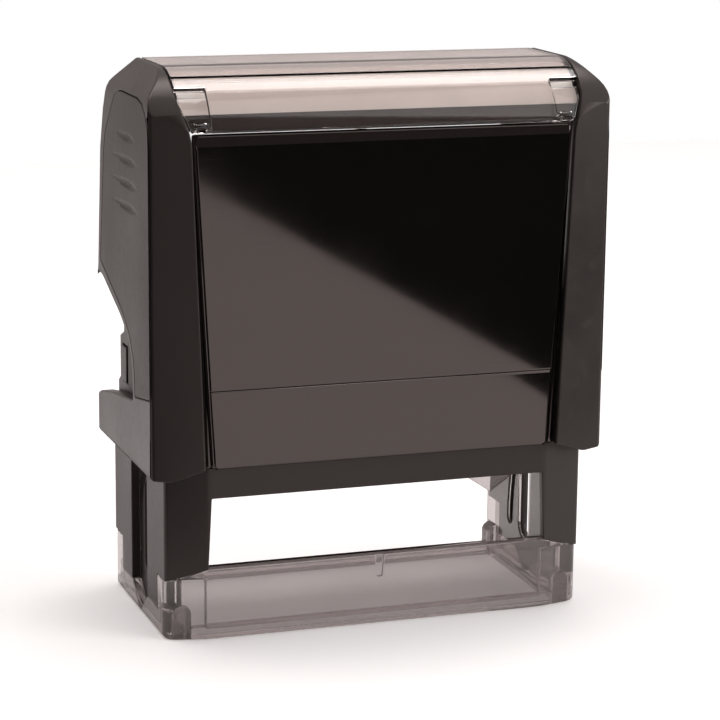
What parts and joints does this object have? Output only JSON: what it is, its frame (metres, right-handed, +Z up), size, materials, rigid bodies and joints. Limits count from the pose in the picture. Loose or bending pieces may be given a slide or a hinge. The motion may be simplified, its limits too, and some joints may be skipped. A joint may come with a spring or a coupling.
{
  "type": "self-inking stamp",
  "caption": "Self-inking text stamp: pressing the cap turns the die over from its ink pad onto the paper.",
  "frame": {"origin": "centre of the base's footprint, on the paper", "axes": "+X along the text plate to the right, +Y to the rear, +Z up; the front faces -Y"},
  "size_m": [0.083, 0.0432, 0.0986],
  "materials": {
    "frame_black": "satin moulded plastic",
    "cap_black": "fine-textured matt plastic",
    "grip_black": "soft matt plastic",
    "panel_gloss": "high gloss",
    "smoke_clear": "clear smoke plastic",
    "pad_rubber": "dark rubber",
    "card": "plain card",
    "steel": "plated steel",
    "plate_backing": "matt plastic",
    "die_rubber": "laser-cut rubber",
    "cartridge_black": "matt plastic",
    "pad_felt": "inked felt",
    "button_black": "satin plastic"
  },
  "bodies": {
    "frame": {"frame_body": "frame_black", "frame_deck": "frame_black", "clear_base": "smoke_clear", "base_pad_front_left": "pad_rubber", "base_pad_front_right": "pad_rubber", "base_pad_rear_left": "pad_rubber", "base_pad_rear_right": "pad_rubber", "return_spring": "steel"},
    "cap": {"left_cheek": "cap_black", "right_cheek": "cap_black", "left_grip": "grip_black", "right_grip": "grip_black", "front_panel": "panel_gloss", "rear_panel": "cap_black", "rear_band": "cap_black", "cap_bridge": "cap_black", "drive_arm_left": "cap_black", "drive_arm_right": "cap_black", "index_card": "card"},
    "window": {"index_window": "smoke_clear"},
    "printing_unit": {"die_carrier": "frame_black", "axle": "steel", "text_plate": "plate_backing", "rubber_die": "die_rubber"},
    "cartridge": {"ink_cartridge": "cartridge_black", "ink_pad": "pad_felt"},
    "lock_left": {"lock_button_left": "button_black"},
    "lock_right": {"lock_button_right": "button_black"}
  },
  "joints": [
    {"name": "cap_press", "type": "slide", "parent": "frame", "child": "cap", "axis": [0, 0, -1], "range_m": [0, 0.028], "stiffness_N_per_m": 450, "springref_m": -0.012, "deforming": ["return_spring"]},
    {"name": "die_flip", "type": "hinge", "parent": "cap", "child": "printing_unit", "pos_m": [0, 0, 0.03758], "axis": [-1, 0, 0], "range_deg": [0, 180]},
    {"name": "cartridge_pull", "type": "slide", "parent": "frame", "child": "cartridge", "axis": [0, 1, 0], "range_m": [0, 0.034]},
    {"name": "lock_left_press", "type": "slide", "parent": "frame", "child": "lock_left", "axis": [1, 0, 0], "range_m": [0, 0.0012], "stiffness_N_per_m": 800, "springref_m": -0.0006},
    {"name": "lock_right_press", "type": "slide", "parent": "frame", "child": "lock_right", "axis": [-1, 0, 0], "range_m": [0, 0.0012], "stiffness_N_per_m": 800, "springref_m": -0.0006},
    {"name": "window_lift", "type": "slide", "parent": "cap", "child": "window", "axis": [0, 0, 1], "range_m": [0, 0.012]}
  ],
  "couplings": [
    {"joint": "die_flip", "follows": "cap_press", "rad_per_m": 112.2}
  ]
}
